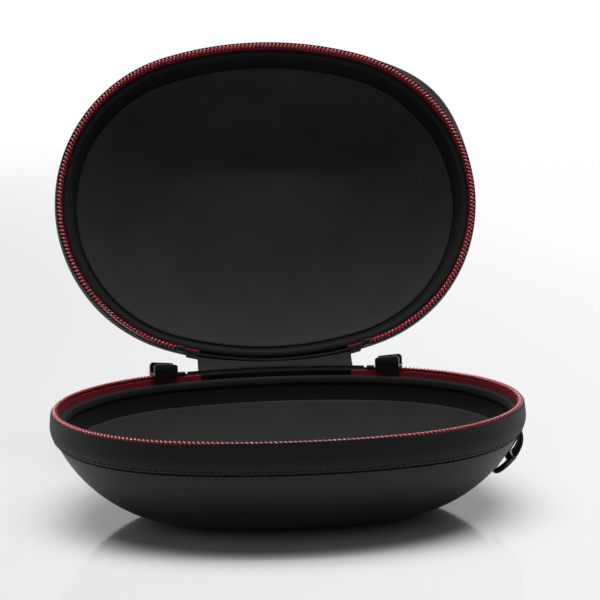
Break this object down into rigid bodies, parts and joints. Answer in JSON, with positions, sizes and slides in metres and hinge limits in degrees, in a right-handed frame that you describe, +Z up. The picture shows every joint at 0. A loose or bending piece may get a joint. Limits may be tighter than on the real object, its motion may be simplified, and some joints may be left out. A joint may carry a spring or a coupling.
{
  "type": "headphone carrying case",
  "caption": "Oval zip-up clamshell case with moulded padded halves, a woven band, a red zip and a cloth hinge, for carrying folded headphones.",
  "frame": {"origin": "centre of the flat under the base, on the surface that the case stands on", "axes": "+X to the right along the case, +Y to the back where the hinge is, +Z up"},
  "size_m": [0.1884, 0.2232, 0.1856],
  "materials": {
    "moulded_skin": "soft-sheen moulded leatherette",
    "foam_core": "closed-cell foam",
    "lining_cloth": "brushed knit",
    "woven_band": "plain weave",
    "zip_tape": "woven tape",
    "zip_coil": "moulded coil",
    "rim_binding": "folded binding tape",
    "hinge_cloth": "plain weave",
    "webbing": "ribbed webbing",
    "black_metal": "black nickel",
    "pull_plastic": "moulded"
  },
  "bodies": {
    "base": {"base_skin": "moulded_skin", "base_foam": "foam_core", "base_lining": "lining_cloth", "base_band": "woven_band", "base_zip_tape": "zip_tape", "base_zip_coil": "zip_coil", "base_zip_stops": "black_metal", "base_rim_binding": "rim_binding", "base_hinge_leaf": "hinge_cloth", "strap_tab": "webbing"},
    "lid": {"lid_skin": "moulded_skin", "lid_foam": "foam_core", "lid_lining": "lining_cloth", "lid_band": "woven_band", "lid_zip_tape": "zip_tape", "lid_zip_coil": "zip_coil", "lid_zip_stops": "black_metal", "lid_rim_binding": "rim_binding", "lid_hinge_leaf": "hinge_cloth"},
    "right_slider": {"right_slider": "black_metal"},
    "right_pull": {"right_pull": "pull_plastic"},
    "left_slider": {"left_slider": "black_metal"},
    "left_pull": {"left_pull": "pull_plastic"},
    "ring": {"strap_ring": "black_metal"}
  },
  "joints": [
    {"name": "lid_hinge", "type": "hinge", "parent": "base", "child": "lid", "pos_m": [0, 0.0744, 0.046], "axis": [1, 0, 0], "range_deg": [-70, 108]},
    {"name": "right_zip_travel", "type": "hinge", "parent": "base", "child": "right_slider", "pos_m": [0.0245, 0, 0.046], "axis": [0, 0, 1], "range_deg": [-138, 0]},
    {"name": "left_zip_travel", "type": "hinge", "parent": "base", "child": "left_slider", "pos_m": [-0.0245, 0, 0.046], "axis": [0, 0, 1], "range_deg": [0, 138]},
    {"name": "right_pull_swing", "type": "hinge", "parent": "right_slider", "child": "right_pull", "pos_m": [0.05089, 0.06913, 0.046], "axis": [0.9342, -0.3566, 0], "range_deg": [0, 100]},
    {"name": "left_pull_swing", "type": "hinge", "parent": "left_slider", "child": "left_pull", "pos_m": [-0.05089, 0.06913, 0.046], "axis": [0.9342, 0.3566, 0], "range_deg": [0, 100]},
    {"name": "ring_swing", "type": "hinge", "parent": "base", "child": "ring", "pos_m": [0.08826, -0.00558, 0.0214], "axis": [-0.0872, -0.9962, 0], "range_deg": [0, 130]}
  ]
}
